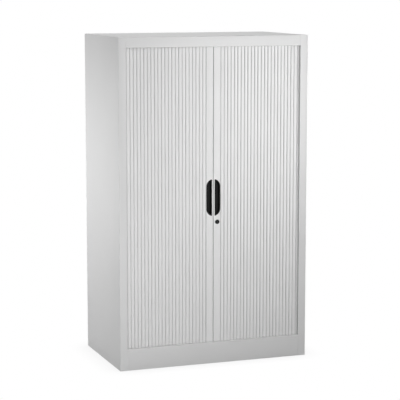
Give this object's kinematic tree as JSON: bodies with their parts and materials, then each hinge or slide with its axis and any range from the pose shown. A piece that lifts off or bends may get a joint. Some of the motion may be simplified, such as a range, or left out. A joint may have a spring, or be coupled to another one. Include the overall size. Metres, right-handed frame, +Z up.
{
  "type": "tambour door cabinet",
  "caption": "Tall steel office cabinet with side-opening slatted tambour shutters, recessed finger cups, a cam lock and adjustable shelves.",
  "frame": {"origin": "on the floor, under the middle of the cabinet's plan", "axes": "+Z up; +X to the right as seen from the front; the shutters face -Y"},
  "size_m": [0.8, 0.47, 1.321],
  "materials": {
    "carcass_paint": "light grey satin powder coat",
    "fitting_paint": "light grey satin powder coat",
    "slat_plastic": "light grey satin extrusion",
    "handle_plastic": "black moulded plastic",
    "track_plastic": "grey low-friction plastic",
    "buffer_rubber": "black rubber",
    "zinc_steel": "bright zinc plated steel",
    "lock_black": "black coated die casting",
    "lock_core": "dark satin die casting"
  },
  "bodies": {
    "cabinet": {"right_side_panel": "carcass_paint", "left_side_panel": "carcass_paint", "back_panel": "carcass_paint", "top_panel": "carcass_paint", "front_plinth": "carcass_paint", "rear_skid": "carcass_paint", "base_tray": "carcass_paint", "head_tray": "carcass_paint", "base_deck": "carcass_paint", "ceiling_panel": "carcass_paint", "right_liner": "fitting_paint", "left_liner": "fitting_paint", "bottom_track_right": "track_plastic", "bottom_track_left": "track_plastic", "top_track_right": "track_plastic", "top_track_left": "track_plastic", "stop_buffers": "buffer_rubber", "lower_shelf": "fitting_paint", "upper_shelf": "fitting_paint", "shelf_clips": "zinc_steel", "foot_brackets": "zinc_steel", "levelling_feet": "zinc_steel"},
    "right_door": {"right_lead_slat": "slat_plastic", "right_handle": "handle_plastic", "right_lead_shoes": "handle_plastic", "lock_housing": "lock_black"},
    "left_door": {"left_lead_slat": "slat_plastic", "left_handle": "handle_plastic", "left_lead_shoes": "handle_plastic", "lock_keeper": "zinc_steel"},
    "lock": {"lock_plug": "lock_core", "lock_cam": "zinc_steel"},
    "right_slats_01": {"right_slats_01": "slat_plastic"},
    "right_slats_02": {"right_slats_02": "slat_plastic"},
    "right_slats_03": {"right_slats_03": "slat_plastic"},
    "right_slats_04": {"right_slats_04": "slat_plastic"},
    "right_slats_05": {"right_slats_05": "slat_plastic"},
    "right_slats_06": {"right_slats_06": "slat_plastic"},
    "right_slats_07": {"right_slats_07": "slat_plastic"},
    "right_slats_08": {"right_slats_08": "slat_plastic"},
    "right_slats_09": {"right_slats_09": "slat_plastic"},
    "right_slats_10": {"right_slats_10": "slat_plastic"},
    "right_slats_11": {"right_slats_11": "slat_plastic"},
    "right_slats_12": {"right_slats_12": "slat_plastic"},
    "left_slats_01": {"left_slats_01": "slat_plastic"},
    "left_slats_02": {"left_slats_02": "slat_plastic"},
    "left_slats_03": {"left_slats_03": "slat_plastic"},
    "left_slats_04": {"left_slats_04": "slat_plastic"},
    "left_slats_05": {"left_slats_05": "slat_plastic"},
    "left_slats_06": {"left_slats_06": "slat_plastic"},
    "left_slats_07": {"left_slats_07": "slat_plastic"},
    "left_slats_08": {"left_slats_08": "slat_plastic"},
    "left_slats_09": {"left_slats_09": "slat_plastic"},
    "left_slats_10": {"left_slats_10": "slat_plastic"},
    "left_slats_11": {"left_slats_11": "slat_plastic"},
    "left_slats_12": {"left_slats_12": "slat_plastic"}
  },
  "joints": [
    {"name": "right_door_slide", "type": "slide", "parent": "cabinet", "child": "right_door", "axis": [1, 0, 0], "range_m": [0, 0.335]},
    {"name": "left_door_slide", "type": "slide", "parent": "cabinet", "child": "left_door", "axis": [-1, 0, 0], "range_m": [0, 0.335]},
    {"name": "lock_turn", "type": "hinge", "parent": "right_door", "child": "lock", "pos_m": [0.0168, -0.198, 0.577], "axis": [0, 1, 0], "range_deg": [0, 90]},
    {"name": "right_slats_01_slide", "type": "slide", "parent": "cabinet", "child": "right_slats_01", "axis": [1, 0, 0], "range_m": [0, 0.335], "deforming": ["right_slats_01"]},
    {"name": "right_slats_02_slide", "type": "slide", "parent": "cabinet", "child": "right_slats_02", "axis": [1, 0, 0], "range_m": [0, 0.3062], "deforming": ["right_slats_02"]},
    {"name": "right_slats_03_slide", "type": "slide", "parent": "cabinet", "child": "right_slats_03", "axis": [1, 0, 0], "range_m": [0, 0.2774], "deforming": ["right_slats_03"]},
    {"name": "right_slats_04_slide", "type": "slide", "parent": "cabinet", "child": "right_slats_04", "axis": [1, 0, 0], "range_m": [0, 0.2486], "deforming": ["right_slats_04"]},
    {"name": "right_slats_05_slide", "type": "slide", "parent": "cabinet", "child": "right_slats_05", "axis": [1, 0, 0], "range_m": [0, 0.2198], "deforming": ["right_slats_05"]},
    {"name": "right_slats_06_slide", "type": "slide", "parent": "cabinet", "child": "right_slats_06", "axis": [1, 0, 0], "range_m": [0, 0.191], "deforming": ["right_slats_06"]},
    {"name": "right_slats_07_slide", "type": "slide", "parent": "cabinet", "child": "right_slats_07", "axis": [1, 0, 0], "range_m": [0, 0.1622], "deforming": ["right_slats_07"]},
    {"name": "right_slats_08_slide", "type": "slide", "parent": "cabinet", "child": "right_slats_08", "axis": [1, 0, 0], "range_m": [0, 0.1334], "deforming": ["right_slats_08"]},
    {"name": "right_slats_09_slide", "type": "slide", "parent": "cabinet", "child": "right_slats_09", "axis": [1, 0, 0], "range_m": [0, 0.1046], "deforming": ["right_slats_09"]},
    {"name": "right_slats_10_slide", "type": "slide", "parent": "cabinet", "child": "right_slats_10", "axis": [1, 0, 0], "range_m": [0, 0.0758], "deforming": ["right_slats_10"]},
    {"name": "right_slats_11_slide", "type": "slide", "parent": "cabinet", "child": "right_slats_11", "axis": [1, 0, 0], "range_m": [0, 0.047], "deforming": ["right_slats_11"]},
    {"name": "right_slats_12_slide", "type": "slide", "parent": "cabinet", "child": "right_slats_12", "axis": [1, 0, 0], "range_m": [0, 0.0182], "deforming": ["right_slats_12"]},
    {"name": "left_slats_01_slide", "type": "slide", "parent": "cabinet", "child": "left_slats_01", "axis": [-1, 0, 0], "range_m": [0, 0.335], "deforming": ["left_slats_01"]},
    {"name": "left_slats_02_slide", "type": "slide", "parent": "cabinet", "child": "left_slats_02", "axis": [-1, 0, 0], "range_m": [0, 0.3062], "deforming": ["left_slats_02"]},
    {"name": "left_slats_03_slide", "type": "slide", "parent": "cabinet", "child": "left_slats_03", "axis": [-1, 0, 0], "range_m": [0, 0.2774], "deforming": ["left_slats_03"]},
    {"name": "left_slats_04_slide", "type": "slide", "parent": "cabinet", "child": "left_slats_04", "axis": [-1, 0, 0], "range_m": [0, 0.2486], "deforming": ["left_slats_04"]},
    {"name": "left_slats_05_slide", "type": "slide", "parent": "cabinet", "child": "left_slats_05", "axis": [-1, 0, 0], "range_m": [0, 0.2198], "deforming": ["left_slats_05"]},
    {"name": "left_slats_06_slide", "type": "slide", "parent": "cabinet", "child": "left_slats_06", "axis": [-1, 0, 0], "range_m": [0, 0.191], "deforming": ["left_slats_06"]},
    {"name": "left_slats_07_slide", "type": "slide", "parent": "cabinet", "child": "left_slats_07", "axis": [-1, 0, 0], "range_m": [0, 0.1622], "deforming": ["left_slats_07"]},
    {"name": "left_slats_08_slide", "type": "slide", "parent": "cabinet", "child": "left_slats_08", "axis": [-1, 0, 0], "range_m": [0, 0.1334], "deforming": ["left_slats_08"]},
    {"name": "left_slats_09_slide", "type": "slide", "parent": "cabinet", "child": "left_slats_09", "axis": [-1, 0, 0], "range_m": [0, 0.1046], "deforming": ["left_slats_09"]},
    {"name": "left_slats_10_slide", "type": "slide", "parent": "cabinet", "child": "left_slats_10", "axis": [-1, 0, 0], "range_m": [0, 0.0758], "deforming": ["left_slats_10"]},
    {"name": "left_slats_11_slide", "type": "slide", "parent": "cabinet", "child": "left_slats_11", "axis": [-1, 0, 0], "range_m": [0, 0.047], "deforming": ["left_slats_11"]},
    {"name": "left_slats_12_slide", "type": "slide", "parent": "cabinet", "child": "left_slats_12", "axis": [-1, 0, 0], "range_m": [0, 0.0182], "deforming": ["left_slats_12"]}
  ],
  "couplings": [
    {"joint": "right_slats_01_slide", "follows": "right_door_slide", "ratio": 1},
    {"joint": "right_slats_02_slide", "follows": "right_door_slide", "ratio": 0.91403},
    {"joint": "right_slats_03_slide", "follows": "right_door_slide", "ratio": 0.82806},
    {"joint": "right_slats_04_slide", "follows": "right_door_slide", "ratio": 0.74209},
    {"joint": "right_slats_05_slide", "follows": "right_door_slide", "ratio": 0.65612},
    {"joint": "right_slats_06_slide", "follows": "right_door_slide", "ratio": 0.57015},
    {"joint": "right_slats_07_slide", "follows": "right_door_slide", "ratio": 0.48418},
    {"joint": "right_slats_08_slide", "follows": "right_door_slide", "ratio": 0.39821},
    {"joint": "right_slats_09_slide", "follows": "right_door_slide", "ratio": 0.31224},
    {"joint": "right_slats_10_slide", "follows": "right_door_slide", "ratio": 0.22627},
    {"joint": "right_slats_11_slide", "follows": "right_door_slide", "ratio": 0.1403},
    {"joint": "right_slats_12_slide", "follows": "right_door_slide", "ratio": 0.054328},
    {"joint": "left_slats_01_slide", "follows": "left_door_slide", "ratio": 1},
    {"joint": "left_slats_02_slide", "follows": "left_door_slide", "ratio": 0.91403},
    {"joint": "left_slats_03_slide", "follows": "left_door_slide", "ratio": 0.82806},
    {"joint": "left_slats_04_slide", "follows": "left_door_slide", "ratio": 0.74209},
    {"joint": "left_slats_05_slide", "follows": "left_door_slide", "ratio": 0.65612},
    {"joint": "left_slats_06_slide", "follows": "left_door_slide", "ratio": 0.57015},
    {"joint": "left_slats_07_slide", "follows": "left_door_slide", "ratio": 0.48418},
    {"joint": "left_slats_08_slide", "follows": "left_door_slide", "ratio": 0.39821},
    {"joint": "left_slats_09_slide", "follows": "left_door_slide", "ratio": 0.31224},
    {"joint": "left_slats_10_slide", "follows": "left_door_slide", "ratio": 0.22627},
    {"joint": "left_slats_11_slide", "follows": "left_door_slide", "ratio": 0.1403},
    {"joint": "left_slats_12_slide", "follows": "left_door_slide", "ratio": 0.054328}
  ]
}
